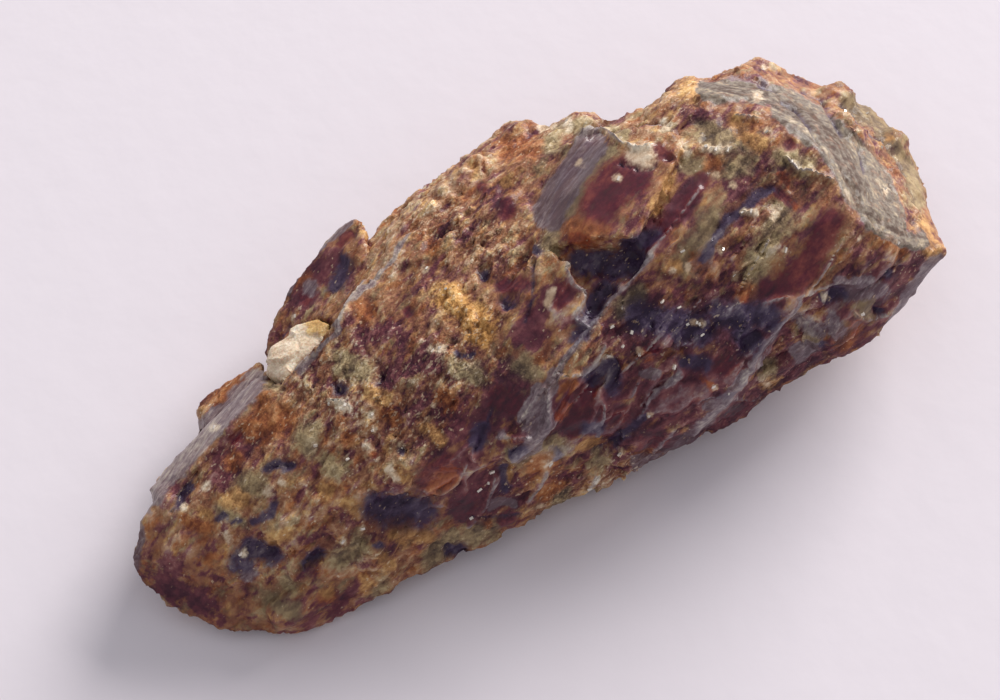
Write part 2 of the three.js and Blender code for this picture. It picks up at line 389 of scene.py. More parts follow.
crystal = fine_copy("painite_crystal", "painite_body", SKIN_GRAIN)
skin = points_of(crystal)
facing = normals_of(crystal)
grown = growth_places(skin)
shake = np.stack([drift(grown, SHAKE_SIZE, 70 + k, 3) for k in range(2)], axis=1) * SHAKE_REACH


def drawn_out(share):
    """The skin's places squeezed to a share along the growth axis, so that patterns draw out there."""
    return grown * np.array([share, 1, 1])


# Where each point of the skin stands in the camera's view, in millimetres from its middle.
towards = np.array(eye) - skin
depth = towards @ np.array(backward)
view = np.stack([
    -(towards @ np.array(rightward)) / depth * distance,
    (towards @ np.array(upward)) / depth * distance,
], axis=1)
towards /= np.linalg.norm(towards, axis=1, keepdims=True)
slant = (facing * towards).sum(axis=1)

# Marks lie on the skin in view and reach a little way round the outline, where the slant turns
# negative. A sight line starts clear of the skin itself, and on the outline clear of the edge.
WRAP_ENDS = -0.45
WRAP_FULL = -0.15
FACING_VIEW = 0.03
SKIN_CLEARANCE = 0.06
EDGE_CLEARANCE = 0.9
SIGHT_REACH = 30

tree = BVHTree.FromPolygons(skin.tolist(), [tuple(face.vertices) for face in crystal.data.polygons])
seen = np.zeros(len(skin))
for index in np.flatnonzero(slant > WRAP_ENDS):
    if slant[index] > FACING_VIEW:
        start = Vector(skin[index] + facing[index] * SKIN_CLEARANCE)
    else:
        start = Vector(skin[index] + towards[index] * EDGE_CLEARANCE)
    if tree.ray_cast(start, Vector(towards[index]), SIGHT_REACH)[0] is None:
        seen[index] = 1
seen *= ramp(slant, WRAP_ENDS, WRAP_FULL)
sighted = np.flatnonzero(seen)
unseen = 1 - np.clip(seen * 3, 0, 1)


def gap_to(line, where):
    """Distance, in millimetres across the view, from places to a line of pixels."""
    ends = [np.array([x - PICTURE[0] / 2, y - PICTURE[1] / 2]) / PIXELS_PER_MM for x, y in line]
    nearest = np.full(len(where), 99.0)
    for start, end in zip(ends, ends[1:] or ends):
        along = end - start
        share = np.clip((where - start) @ along / max(along @ along, 1e-9), 0, 1)
        gap = np.linalg.norm(where - start - share[:, None] * along, axis=1)
        nearest = np.minimum(nearest, gap)
    return nearest


def on_skin(strength):
    """A strength at the sighted points as an amount at every point of the skin."""
    amount = np.zeros(len(skin))
    amount[sighted] = strength * seen[sighted]
    return amount


def marked(marks, soft=0.5, stray=1.0):
    """How strongly the skin carries some marks: 1 on a mark's line, 0 out of its reach."""
    where = view[sighted] + shake[sighted] * stray
    strength = np.zeros(len(sighted))
    for reach, *line in marks:
        gap = gap_to(line, where)
        strength = np.maximum(strength, 1 - ramp(gap, reach * (1 - soft), reach * (1 + soft)))
    return on_skin(strength)


def crested(marks, stray=0.2):
    """Sharp crests along some lines: 1 on the line, falling straight to 0 at its reach."""
    where = view[sighted] + shake[sighted] * stray
    strength = np.zeros(len(sighted))
    width = 0.80 + 0.45 * drift(grown[sighted], 0.50, 77, 2)
    for reach, *line in marks:
        strength = np.maximum(strength, np.clip(1 - gap_to(line, where) / (reach * width), 0, 1))
    return on_skin(strength)


# Marks: the reach in millimetres, then the pixels of the line that it follows.
END_FACE = [
    (0.22, (706, 92), (745, 92), (790, 100), (818, 116)),
    (0.40, (788, 108), (826, 134), (854, 170), (876, 212)),
    (0.24, (808, 112), (850, 142), (878, 180), (898, 225)),
    (0.22, (850, 190), (884, 228), (918, 243)),
]
SMOOTH_FACES = [
    (0.26, (147, 508), (166, 476), (195, 442), (227, 412), (255, 383)),
    (0.34, (590, 145), (575, 167), (560, 192), (549, 218)),
    (0.17, (556, 374), (546, 395), (546, 418), (534, 440), (518, 456)),
    (0.16, (540, 392), (524, 418)), (0.14, (348, 222), (330, 236)),
    (0.06, (325, 244), (300, 266), (286, 292)), (0.11, (655, 370), (645, 374)),
    (0.08, (737, 384), (744, 374)), (0.08, (704, 406), (718, 404)), (0.24, (799, 351), (806, 346)),
    (0.22, (896, 318), (915, 290), (934, 264)), (0.12, (492, 504), (512, 504)),
    (0.12, (840, 282), (868, 280)), (0.10, (215, 410), (245, 391), (262, 378)),
]
CRESTS = [
    (0.16, (798, 302), (784, 320), (770, 340), (758, 354), (744, 372), (736, 388), (720, 403),
     (692, 430)),
    (0.13, (651, 257), (636, 275), (622, 291), (607, 306), (590, 326), (574, 346), (556, 372)),
    (0.11, (604, 345), (598, 360), (585, 373), (560, 378)),
    (0.11, (556, 372), (549, 390), (548, 424), (536, 440), (512, 460)),
    (0.09, (762, 303), (790, 298), (808, 292), (818, 282), (826, 267), (842, 243)),
    (0.10, (808, 294), (826, 287), (842, 281), (872, 280)),
    (0.11, (561, 256), (565, 274), (573, 286), (586, 293), (583, 303), (572, 318), (590, 328)),
    (0.07, (366, 284), (346, 318), (334, 336), (304, 362), (286, 386)),
    (0.09, (640, 406), (650, 392), (666, 387), (682, 376)), (0.08, (604, 404), (597, 436)),
    (0.08, (497, 478), (490, 492), (478, 514), (466, 526)),
    (0.10, (546, 470), (536, 490), (527, 502)), (0.07, (699, 397), (736, 397), (760, 398)),
    (0.08, (500, 437), (531, 438)), (0.08, (422, 489), (440, 493), (456, 482), (466, 464)),
    (0.09, (654, 446), (672, 430)), (0.07, (852, 314), (864, 318), (878, 315), (893, 311)),
    (0.07, (590, 484), (598, 474)), (0.09, (786, 158), (797, 170), (814, 172), (832, 180)),
    (0.09, (620, 142), (600, 130), (586, 132)), (0.09, (622, 142), (638, 149), (652, 146)),
    (0.07, (700, 150), (731, 148)), (0.08, (745, 211), (757, 213)),
    (0.07, (675, 345), (690, 343), (702, 330)), (0.06, (738, 337), (750, 318)),
    (0.08, (346, 402), (330, 402)),
    (0.12, (681, 372), (670, 380), (652, 397), (645, 408), (638, 419)),
    (0.08, (674, 426), (652, 451)), (0.07, (595, 473), (588, 484)), (0.07, (624, 433), (620, 444)),
    (0.08, (494, 476), (487, 501), (480, 509)), (0.08, (760, 120), (735, 116)),
    (0.08, (700, 190), (668, 232), (640, 268)), (0.07, (768, 240), (752, 268), (738, 290)),
    (0.07, (722, 228), (700, 256)), (0.07, (700, 300), (676, 330)),
    (0.08, (664, 330), (640, 356), (622, 372)), (0.08, (545, 387), (532, 405), (519, 423)),
    (0.07, (640, 380), (628, 396)), (0.07, (586, 385), (574, 402)),
]
GROOVES = [
    (0.12, (196, 474), (182, 495), (172, 512)), (0.10, (267, 468), (290, 464)),
    (0.10, (782, 101), (797, 110), (808, 126), (821, 146)), (0.09, (760, 85), (776, 91)),
    (0.10, (803, 90), (822, 98), (830, 114), (842, 134)),
    (0.10, (852, 112), (862, 126), (872, 136), (884, 140)), (0.09, (860, 150), (866, 172)),
    (0.10, (383, 373), (377, 386)), (0.09, (473, 452), (486, 424), (492, 408)),
    (0.10, (525, 320), (532, 300), (534, 262)), (0.12, (881, 278), (890, 270), (902, 266)),
    (0.10, (600, 448), (612, 442), (622, 440)), (0.09, (512, 452), (522, 444)),
    (0.10, (470, 516), (500, 517), (520, 515)), (0.12, (290, 326), (268, 360)),
    (0.10, (620, 164), (642, 170), (656, 165)), (0.12, (704, 400), (724, 396), (735, 391)),
]
PITS = [
    (0.36, (378, 507), (404, 510), (422, 512)), (0.16, (252, 553), (270, 553)),
    (0.12, (310, 561), (316, 556)), (0.26, (583, 262), (610, 268), (628, 262)),
    (0.16, (604, 292), (590, 312)), (0.12, (340, 390),), (0.10, (400, 452), (404, 456)),
    (0.12, (452, 551), (464, 550)), (0.14, (486, 268), (484, 280)), (0.14, (506, 304), (512, 300)),
    (0.12, (756, 336), (748, 345)), (0.12, (823, 344),), (0.10, (880, 310),), (0.10, (668, 158),),
    (0.10, (515, 428),),
]
GEMS = [
    (0.30, (500, 398), (512, 404)), (0.34, (428, 480), (448, 468)),
    (0.32, (768, 293), (790, 284), (806, 268), (818, 248), (832, 222)),
    (0.50, (600, 205), (614, 184), (632, 174)),
    (0.18, (704, 178), (690, 200), (668, 226), (648, 248)), (0.15, (668, 158), (660, 150)),
    (0.24, (568, 405), (574, 424)), (0.20, (590, 396), (592, 420)), (0.20, (690, 395), (672, 412)),
    (0.20, (506, 208), (504, 214)), (0.16, (642, 352), (652, 352)), (0.24, (722, 362), (732, 370)),
    (0.18, (626, 410), (618, 418)), (0.16, (304, 298), (312, 292)), (0.14, (342, 240), (350, 236)),
    (0.20, (458, 512), (468, 500)), (0.12, (722, 414), (736, 408)), (0.16, (644, 440), (660, 436)),
    (0.12, (664, 447), (678, 437)), (0.18, (562, 290), (560, 304)), (0.20, (505, 288), (520, 284)),
    (0.14, (410, 314),), (0.16, (236, 440),), (0.14, (482, 186),), (0.16, (790, 146),),
    (0.12, (776, 192), (794, 204)), (0.12, (502, 522), (512, 516)),
]
# Small bright orange spots on the gem windows: a painted glow and highlight of light through the red
# crystal.
PAINTED_GLOW = [
    (0.18, (434, 486), (450, 474)), (0.10, (568, 404), (560, 418)), (0.08, (641, 354), (652, 357)),
    (0.09, (703, 378), (713, 387)), (0.12, (574, 236), (586, 240)), (0.09, (782, 174), (788, 182)),
    (0.07, (790, 198), (798, 208)), (0.09, (856, 322), (854, 334)), (0.12, (745, 298),),
    (0.08, (376, 457),),
]
RUST = [
    (0.36, (255, 428), (284, 418)), (0.30, (262, 404),), (0.24, (236, 462),),
    (0.17, (208, 532), (184, 520)), (0.16, (212, 560),), (0.26, (508, 148), (532, 148)),
    (0.26, (365, 314),), (0.24, (326, 488),), (0.24, (215, 395), (248, 372)), (0.24, (300, 280),),
    (0.24, (432, 244),), (0.24, (714, 162),), (0.26, (742, 292),), (0.24, (596, 228), (570, 226)),
    (0.13, (562, 392), (574, 384)), (0.24, (536, 466), (552, 458)), (0.14, (488, 524),),
    (0.20, (366, 580),), (0.20, (330, 596),), (0.24, (852, 330), (842, 340)),
    (0.26, (884, 236), (896, 250)), (0.20, (750, 132),), (0.30, (702, 262),),
    (0.20, (385, 405), (395, 420)), (0.20, (350, 440),), (0.22, (440, 396), (452, 404)),
    (0.20, (555, 485), (545, 495)), (0.14, (650, 446), (640, 455)),
]
GOLD = [
    (0.34, (448, 298), (466, 312), (482, 330)), (0.16, (366, 233),), (0.26, (690, 92),),
    (0.20, (735, 122), (760, 148)), (0.13, (672, 176), (660, 196)), (0.18, (206, 514),),
    (0.18, (288, 529), (274, 541)), (0.16, (350, 502), (361, 514)), (0.20, (325, 487),),
    (0.17, (370, 486),), (0.18, (386, 560),), (0.16, (366, 582),), (0.16, (330, 592),),
    (0.20, (372, 394), (386, 398)), (0.17, (508, 178),), (0.20, (240, 500), (228, 498)),
    (0.15, (893, 136),), (0.20, (925, 226), (932, 255)), (0.16, (676, 268),), (0.09, (562, 396),),
    (0.13, (580, 446), (598, 442)), (0.18, (508, 474),), (0.18, (404, 474),),
    (0.14, (768, 382), (776, 378)), (0.14, (655, 208),), (0.14, (322, 328),),
    (0.18, (440, 440), (425, 430)), (0.18, (395, 535), (430, 536)),
]
SUGAR = [
    (0.32, (450, 298), (466, 312), (482, 330)),
]
# Pale cream flecks, partly painted glints.
CREAM_AND_PAINTED_GLINTS = [
    (0.11, (216, 427),), (0.10, (243, 554),), (0.12, (205, 486),), (0.13, (268, 492),),
    (0.10, (282, 482),), (0.10, (185, 507),), (0.11, (228, 537),), (0.07, (373, 430),),
    (0.10, (368, 448),), (0.07, (363, 529),), (0.07, (343, 541),), (0.07, (371, 415),),
    (0.08, (330, 402), (350, 408)), (0.10, (432, 349), (442, 349)), (0.09, (567, 118), (569, 128)),
    (0.09, (541, 124), (553, 123)), (0.22, (636, 154), (646, 157)), (0.10, (618, 178),),
    (0.10, (580, 162),), (0.08, (703, 150), (730, 148)), (0.12, (757, 97),), (0.08, (768, 132),),
    (0.10, (733, 185),), (0.08, (744, 211), (755, 213)), (0.08, (786, 250),), (0.09, (693, 323),),
    (0.07, (612, 327),), (0.07, (604, 357), (611, 356)), (0.07, (640, 352),), (0.07, (713, 386),),
    (0.09, (553, 292), (548, 306)), (0.08, (885, 192),), (0.09, (722, 250),), (0.10, (735, 276),),
    (0.08, (682, 250),), (0.08, (688, 267),), (0.08, (672, 272),), (0.07, (620, 450),),
    (0.08, (767, 382),), (0.08, (295, 318),), (0.07, (674, 366),), (0.07, (650, 415),),
    (0.08, (540, 507),), (0.08, (549, 462),), (0.07, (593, 478),), (0.08, (315, 447),),
    (0.08, (400, 446),), (0.09, (700, 322),), (0.09, (773, 217), (778, 208)), (0.09, (424, 268),),
    (0.08, (716, 172),), (0.08, (862, 237),), (0.07, (763, 68),), (0.12, (665, 124),),
    (0.09, (686, 153),), (0.09, (390, 470), (396, 476)), (0.08, (346, 458),), (0.08, (826, 296),),
]
# Dark navy glassy patches, partly painted shade in the pits, hollows and the recess.
NAVY_AND_PAINTED_SHADE = [
    (0.40, (376, 507), (404, 510), (420, 512)), (0.22, (238, 558), (254, 549), (272, 554)),
    (0.14, (236, 568), (250, 566)), (0.15, (306, 563), (318, 553)),
    (0.13, (256, 520), (268, 514), (272, 506)), (0.10, (266, 471), (278, 464), (290, 467)),
    (0.08, (216, 520), (226, 515)), (0.07, (232, 524), (242, 519)), (0.12, (190, 486), (178, 506)),
    (0.20, (340, 390),), (0.32, (580, 260), (612, 268), (634, 258)),
    (0.24, (606, 290), (588, 316), (580, 334)), (0.24, (632, 248), (652, 236)),
    (0.24, (592, 376), (612, 366), (614, 384)), (0.12, (770, 190), (750, 200), (736, 214)),
    (0.12, (732, 216), (714, 240), (702, 260)), (0.40, (640, 318), (700, 330)),
    (0.34, (720, 312), (768, 318)), (0.30, (745, 334), (752, 342)), (0.16, (684, 364), (706, 362)),
    (0.12, (644, 418), (616, 442)), (0.14, (826, 297), (842, 291)), (0.20, (345, 262), (336, 286)),
    (0.16, (506, 304),), (0.14, (484, 274),), (0.16, (476, 444), (482, 428)), (0.12, (400, 453),),
    (0.12, (380, 545),), (0.14, (452, 551), (462, 550)), (0.12, (512, 454), (522, 446)),
    (0.16, (575, 336),), (0.12, (822, 344),), (0.10, (880, 310),), (0.14, (536, 250),),
    (0.14, (585, 426), (600, 428)), (0.14, (502, 470), (504, 488)), (0.12, (890, 274),),
    (0.14, (556, 452),), (0.09, (460, 353), (474, 354)),
]
OLIVE = [
    (0.34, (245, 486), (256, 482)), (0.24, (284, 584),), (0.24, (240, 520), (226, 508)),
    (0.32, (342, 362), (362, 372)), (0.28, (462, 368), (476, 372)), (0.30, (312, 432), (308, 446)),
    (0.26, (552, 146),), (0.30, (636, 298), (624, 310)), (0.34, (712, 222), (690, 262)),
    (0.32, (784, 212), (768, 242), (752, 274)), (0.26, (554, 230), (550, 244)), (0.24, (812, 334),),
    (0.24, (866, 308),), (0.24, (600, 460),), (0.30, (518, 456), (556, 448)),
    (0.24, (745, 166), (688, 166)), (0.30, (520, 366), (532, 372)), (0.24, (340, 470), (330, 464)),
    (0.26, (560, 500),), (0.26, (380, 585),), (0.26, (470, 536), (490, 530)),
    (0.24, (292, 610), (270, 600)), (0.24, (430, 560), (450, 540)), (0.20, (768, 366),),
    (0.24, (850, 104), (884, 126), (906, 158), (918, 200)), (0.30, (705, 132), (750, 145)),
    (0.13, (610, 150), (592, 166), (580, 190), (568, 215), (560, 236)),
    (0.16, (560, 128), (600, 127), (624, 136)), (0.14, (668, 125),), (0.24, (806, 166), (786, 158)),
    (0.24, (275, 386),), (0.30, (340, 560), (360, 545)), (0.20, (845, 326),),
]
# Lilac-grey sheen painted on smooth faces and thin ridges: a painted reflection of the light.
PAINTED_SHEEN = [
    (0.05, (408, 236), (396, 258), (378, 280), (360, 300), (344, 318), (326, 340)),
    (0.09, (798, 302), (770, 340), (744, 372), (720, 403), (692, 430), (662, 458)),
    (0.06, (345, 320), (300, 372)), (0.05, (680, 373), (652, 397), (640, 416)),
    (0.08, (577, 340), (557, 372)), (0.05, (596, 436), (604, 404)), (0.20, (250, 574),),
    (0.20, (310, 288),), (0.12, (146, 516), (138, 545), (135, 572)), (0.24, (640, 464), (660, 461)),
    (0.20, (735, 84), (760, 88)), (0.22, (850, 294), (880, 290)), (0.16, (800, 318), (822, 330)),
    (0.22, (830, 318), (838, 330)), (0.16, (500, 436),), (0.20, (536, 412), (530, 428)),
]
WINE = [
    (0.8, (500, 400), (560, 420), (640, 410), (700, 370)),
    (0.7, (640, 330), (700, 330), (760, 320)), (0.5, (440, 405), (470, 500), (500, 490)),
    (0.4, (320, 262), (300, 300)), (0.3, (500, 205),), (0.25, (170, 565), (165, 585), (200, 600)),
    (0.7, (840, 315), (885, 290)), (0.4, (905, 280), (930, 262)), (0.5, (720, 380), (760, 350)),
    (0.4, (860, 335), (790, 362), (745, 404), (690, 436)), (0.4, (640, 440), (680, 430)),
    (0.2, (690, 112), (712, 122)), (0.3, (390, 340), (370, 330)), (0.4, (530, 332), (556, 300)),
    (0.35, (250, 440), (225, 465)), (0.3, (690, 190), (660, 235)), (0.3, (360, 600), (300, 615)),
    (0.4, (395, 370), (430, 360)), (0.10, (838, 100), (848, 112)), (0.10, (866, 116), (880, 134)),
    (0.10, (898, 148), (904, 168)),
]
# Paler and darker stretches of colour; on the smooth faces they also brighten or dim the painted sheen.
PALER_STRETCHES = [
    (0.5, (150, 505), (180, 462), (220, 420)), (0.3, (240, 398), (262, 375)),
    (0.40, (402, 200), (440, 192), (476, 168), (500, 148)),
    (0.40, (530, 128), (566, 124), (610, 122)), (0.42, (664, 104), (700, 88)),
    (0.22, (728, 72), (770, 70), (800, 84), (840, 98)), (0.34, (420, 232), (392, 232)),
    (0.30, (640, 134), (672, 130)), (0.30, (684, 140),), (0.36, (384, 270), (420, 262)),
    (0.30, (350, 340), (372, 328)), (0.34, (468, 384), (480, 376)), (0.30, (780, 225), (770, 262)),
    (0.26, (820, 165), (806, 160)),
]
DARKER_STRETCHES = [
    (0.5, (588, 150), (556, 205)), (0.5, (740, 195), (790, 175), (715, 140)),
    (0.4, (610, 210), (630, 180)), (0.5, (740, 240), (790, 240)), (0.5, (800, 140), (820, 190)),
    (0.5, (640, 380), (660, 440)), (0.60, (640, 300), (700, 340), (760, 330)),
    (0.60, (570, 420), (640, 420), (700, 370)), (0.50, (490, 500), (450, 520)),
    (0.45, (150, 580), (200, 610), (260, 622)), (0.3, (740, 62), (800, 80)),
    (0.45, (520, 300), (500, 280)), (0.4, (870, 340), (800, 365), (740, 410), (690, 440)),
    (0.50, (690, 200), (700, 290)), (0.45, (520, 350), (500, 400)), (0.45, (860, 270), (850, 300)),
    (0.36, (420, 310), (400, 340)), (0.36, (610, 200), (640, 190)), (0.40, (310, 545), (400, 530)),
]
END_SEAMS = [
    (0.06, (790, 98), (812, 112), (830, 134)),
    (0.05, (842, 138), (858, 165), (872, 200), (884, 234)),
    (0.05, (866, 140), (884, 172), (899, 205), (909, 236)),
    (0.05, (884, 140), (903, 172), (915, 205)), (0.05, (826, 150), (842, 172), (856, 200)),
    (0.05, (740, 84), (770, 92), (796, 112)), (0.05, (838, 116), (862, 142), (880, 160)),
    (0.04, (852, 186), (866, 212), (880, 236)),
]

# Stretches where the crust is rougher, calmer or ribbed, and where thin ridges crowd.
ROUGH_CRUST = [
    (0.9, (330, 380), (400, 430), (460, 370)), (0.5, (440, 220), (490, 250)),
    (0.4, (450, 300), (475, 325)), (0.3, (560, 500), (640, 470)),
]
CALM_CRUST = [
    (0.8, (610, 190), (600, 210)), (0.5, (200, 560), (180, 600)), (0.8, (700, 200), (670, 250)),
    (0.5, (820, 220), (780, 290)), (0.6, (500, 400), (450, 480), (450, 500)),
    (0.5, (880, 280), (850, 330)), (0.6, (530, 330), (570, 290)), (0.4, (310, 280), (340, 250)),
    (0.6, (560, 400), (640, 410), (700, 380)),
    (0.8, (135, 545), (150, 590), (200, 615), (260, 630), (330, 610)),
    (0.2, (780, 78), (850, 100), (900, 135), (918, 190), (936, 235)),
]
FRONT_RIDGES = [
    (1.5, (800, 190), (740, 250), (690, 330), (640, 380)),
    (0.9, (890, 270), (830, 320), (740, 400), (640, 440)),
]
RIDGED = [
    (1.0, (560, 430), (640, 400), (720, 360), (790, 300)), (0.7, (690, 250), (780, 230)),
    (0.5, (430, 500), (500, 440)), (0.6, (890, 270), (840, 310)), (0.5, (520, 330), (560, 300)),
]
SWELLS = [
    (0.30, (164, 504), (152, 518)),
]
END_EDGE = [
    (700, 98), (760, 112), (800, 132), (822, 152), (838, 190), (852, 216), (895, 243), (945, 255),
]

carried = {
    "end_face": marked(END_FACE, 0.35),
    "smooth": marked(END_FACE + SMOOTH_FACES, 0.6),
    "crest": crested(CRESTS),
    "groove": crested(GROOVES),
    "pit": marked(PITS, 0.45),
    "gem": marked(GEMS, 0.7),
    "fire": marked(PAINTED_GLOW, 0.8),
    "rust": marked(RUST, 0.95, 1.4),
    "gold": marked(GOLD, 0.9, 1.4),
    "sugar": marked(SUGAR, 0.8),
    "cream": marked(CREAM_AND_PAINTED_GLINTS, 1.0, 0.6),
    "navy": marked(NAVY_AND_PAINTED_SHADE, 0.9),
    "olive": marked(OLIVE, 0.95, 1.6),
    "lilac": marked(PAINTED_SHEEN, 0.9) * 0.8,
    "wine": marked(WINE, 1.0, 2.0),
    "seam": crested(END_SEAMS, 1.0),
}

# On the sides that the camera doesn't see, the same finishes come by chance. Each has its share
# along the growth axis, its size, seed and layers, and the swell where it starts and is full.
BY_CHANCE = {
    "gem": (0.3, 0.55, 101, 2, 0.72, 0.86),
    "navy": (0.3, 0.60, 103, 2, 0.62, 0.80),
    "rust": (0.3, 0.60, 105, 2, 0.45, 0.75),
    "gold": (0.3, 0.50, 107, 2, 0.70, 0.90),
    "olive": (0.3, 0.75, 109, 2, 0.45, 0.80),
    "lilac": (0.3, 0.70, 111, 2, 0.55, 0.80),
    "cream": (1.0, 0.22, 113, 1, 0.86, 0.95),
    "smooth": (0.18, 0.80, 115, 1, 0.55, 0.75),
    "pit": (1.0, 0.60, 117, 1, 0.80, 0.95),
    "wine": (0.3, 1.10, 121, 2, 0.10, 0.60),
}
for name, (share, size, seed, layers, low, high) in BY_CHANCE.items():
    patches = ramp(drift(drawn_out(share), size, seed, layers), low, high)
    carried[name] = np.maximum(carried[name], unseen * patches)

tone = marked(PALER_STRETCHES, 1.0, 2.0) - marked(DARKER_STRETCHES, 1.0, 2.0)
tone = tone + unseen * drift(grown, 1.6, 119, 2) * 0.7
end_face, smooth, gem, lilac = (carried[name] for name in ("end_face", "smooth", "gem", "lilac"))

# Thin ridges run the length of the crystal like folds, closest together on its right side.
ridged = np.maximum(marked(RIDGED, 0.5, 1.0), unseen * 0.7)
fold = 1 - np.abs(drift(drawn_out(0.2) + shake[:, [1, 0, 1]], 0.62, 131, 2))
crest = np.maximum(carried["crest"], ramp(fold, 0.76, 0.96) * ridged * (1 - end_face) * 0.62)

# How rough, ribbed, crusted and stepped the skin is from place to place.
eased = marked(CALM_CRUST, 1.0, 2.0)
grit = 0.65 + 0.50 * np.maximum(marked(ROUGH_CRUST, 1.0, 2.0), unseen * 0.3) - 0.45 * eased
banded = np.maximum(marked(FRONT_RIDGES, 0.5, 1.0), unseen * 0.6) * (1 - 0.6 * eased)
crust = np.clip(1 - 0.95 * smooth - 0.9 * gem - 0.8 * lilac - 0.6 * crest - end_face, 0, 1)
calm = (1 - 0.85 * np.maximum(smooth, end_face) - 0.5 * gem * (1 - smooth)) * (1 - 0.4 * eased)

# The relief: blades that end in steps, lumps and grains of crust, ribs and striae, then the marks.
BLADE_SIZE = 0.70
BLADE_SWAY = 1.5
LUMP_SIZE = 0.33
CRUMB_SIZE = 0.18
SUGAR_SIZE = 0.24
BLADE_TOPS = {"step": 0.14, "tilt": 0.18, "seam": 0.18}
LUMP_TOPS = {"step": 0.08, "tilt": 0.13, "seam": 0.16}
CRUMB_TOPS = {"middle": 0.45, "dome": 0.05, "step": 0.05, "tilt": 0.09}
SUGAR_TOPS = {"middle": 0.55, "dome": 0.16, "step": 0.08, "tilt": 0}
BILLOW_HEIGHT = 0.05
RIB_HEIGHT = 0.075
STRIA_HEIGHT = 0.018
END_STEP_HEIGHT = 0.05
SWELL_HEIGHT = 0.14
CREST_HEIGHT = 0.12
GROOVE_DEPTH = 0.09
PIT_DEPTH = 0.11
NAVY_DEPTH = 0.03
SEAM_DEPTH = 0.05

blades = crumbs(drawn_out(0.3) + shake[:, [0, 1, 0]] * BLADE_SWAY, BLADE_SIZE, 11)
lumps = crumbs(drawn_out(0.5) + shake[:, [1, 0, 1]], LUMP_SIZE, 23)
grains = crumbs(drawn_out(0.6), CRUMB_SIZE, 41)
sugar_grains = crumbs(drawn_out(0.5), SUGAR_SIZE, 91)
edge_gap = np.zeros(len(skin))
edge_gap[sighted] = gap_to(END_EDGE, view[sighted])
end_seat = np.stack([edge_gap + shake[:, 0] * 0.5, grown[:, 1] * 0.14, grown[:, 0] * 0.12], axis=1)

height = flat_tops(blades, **BLADE_TOPS) * calm
height += flat_tops(lumps, **LUMP_TOPS) * (0.25 + 0.75 * crust) * calm * grit
height += round_tops(grains, **CRUMB_TOPS) * crust * grit
height += round_tops(sugar_grains, **SUGAR_TOPS) * carried["sugar"]
height += drift(drawn_out(0.3), 1.3, 31, 2) * BILLOW_HEIGHT * calm
height += drift(drawn_out(0.10), 0.42, 63, 3) * RIB_HEIGHT * banded * calm
height += drift(drawn_out(0.03), 0.09, 61, 2) * STRIA_HEIGHT * (0.3 + 0.7 * smooth) * (1 - end_face)
height += drift(end_seat, 0.24, 67, 3) * END_STEP_HEIGHT * end_face
height += marked(SWELLS, 0.9) * SWELL_HEIGHT + crest ** 0.8 * CREST_HEIGHT
height -= carried["groove"] * GROOVE_DEPTH + carried["pit"] * PIT_DEPTH
height -= carried["navy"] * NAVY_DEPTH + carried["seam"] * SEAM_DEPTH
places = raised(crystal, height)


def paint(piece, name, amounts):
    """Keeps a finish's amount at each point of a piece for its material."""
    layer = piece.data.attributes.new(name, "FLOAT", "POINT")
    layer.data.foreach_set("value", amounts.astype(np.float32))


AS_MARKED = ("end_face", "gem", "fire", "rust", "gold", "sugar", "cream", "olive", "wine", "seam")
# Each grain's own tint, with painted light on its high side and painted shade in its seams.
grain_tint_and_painted_light = grain_tint_and_painted_shade(lumps, 0.8, 0.5) + grain_tint_and_painted_shade(grains, 1.0, 0.8)
finishes = {name: carried[name] for name in AS_MARKED} | {
    "sleek": np.clip(np.maximum(smooth, crest * 0.9), 0, 1),
    "edge_gap": edge_gap,
    # The grooves are painted navy too: a painted shade in the creases.
    "navy": np.maximum(carried["navy"], carried["groove"] * 0.7),
    # The smooth faces carry the painted sheen too.
    "lilac": np.maximum(lilac, smooth),
    "crest": crest,
    "tone": tone,
    "relief": height,
    "grit": grit,
    "banded": banded,
    "crumb": grain_tint_and_painted_light * crust * (0.4 + 0.6 * np.clip(grit, 0, 1)),
}
for name, amounts in finishes.items():
    paint(crystal, name, amounts)

# Each finish in steps from its darkest to its palest shade.
BROWN_STEPS = [
    (0.26, (0.13, 0.042, 0.030)), (0.40, (0.22, 0.084, 0.050)), (0.50, (0.32, 0.144, 0.074)),
    (0.60, (0.43, 0.235, 0.138)), (0.72, (0.58, 0.385, 0.250)), (0.86, (0.84, 0.680, 0.500)),
]
WINE_STEPS = [
    (0.28, (0.045, 0.010, 0.024)), (0.44, (0.108, 0.023, 0.041)), (0.56, (0.200, 0.062, 0.074)),
    (0.70, (0.36, 0.195, 0.185)), (0.86, (0.64, 0.470, 0.420)),
]
RUST_STEPS = [
    (0.28, (0.090, 0.022, 0.014)), (0.44, (0.23, 0.065, 0.024)), (0.56, (0.40, 0.140, 0.046)),
    (0.70, (0.55, 0.270, 0.125)), (0.86, (0.78, 0.540, 0.330)),
]
OCHRE_STEPS = [
    (0.26, (0.140, 0.058, 0.024)), (0.42, (0.31, 0.146, 0.054)), (0.55, (0.52, 0.275, 0.105)),
    (0.68, (0.71, 0.430, 0.165)), (0.84, (0.90, 0.690, 0.370)),
]
OLIVE_STEPS = [
    (0.28, (0.080, 0.054, 0.036)), (0.43, (0.20, 0.142, 0.080)), (0.56, (0.35, 0.262, 0.138)),
    (0.70, (0.56, 0.440, 0.255)), (0.86, (0.84, 0.730, 0.530)),
]
PAINTED_SHEEN_STEPS = [
    (0.28, (0.110, 0.066, 0.080)), (0.42, (0.172, 0.122, 0.140)), (0.56, (0.27, 0.212, 0.218)),
    (0.72, (0.44, 0.370, 0.330)), (0.86, (0.62, 0.540, 0.450)),
]
